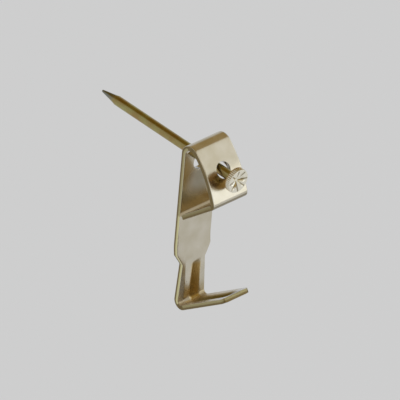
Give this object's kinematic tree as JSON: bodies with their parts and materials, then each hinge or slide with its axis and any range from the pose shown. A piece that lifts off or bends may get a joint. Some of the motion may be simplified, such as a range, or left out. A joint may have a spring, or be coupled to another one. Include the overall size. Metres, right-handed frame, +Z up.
{
  "type": "picture hook",
  "caption": "Folded sheet-metal picture hook: a loop at the top carries its wall nail through punched holes, and a grooved prong below holds a picture's wire.",
  "frame": {"origin": "where the nail's axis meets the wall plane, which is the plane of the strip's rear face", "axes": "+Y along the nail into the wall, +Z up the wall, +X across the strip; the front of the hook is -Y"},
  "size_m": [0.0088, 0.0416, 0.0391],
  "materials": {
    "plated_strip": "pale brass plating on rolled sheet steel, satin to bright, darker on the cut edges",
    "plated_nail": "drawn wire with the same plating, a bright head pressed with a ray pattern, and a grey point"
  },
  "bodies": {
    "root": {"hanger_strip": "plated_strip", "nail": "plated_nail"}
  },
  "joints": []
}
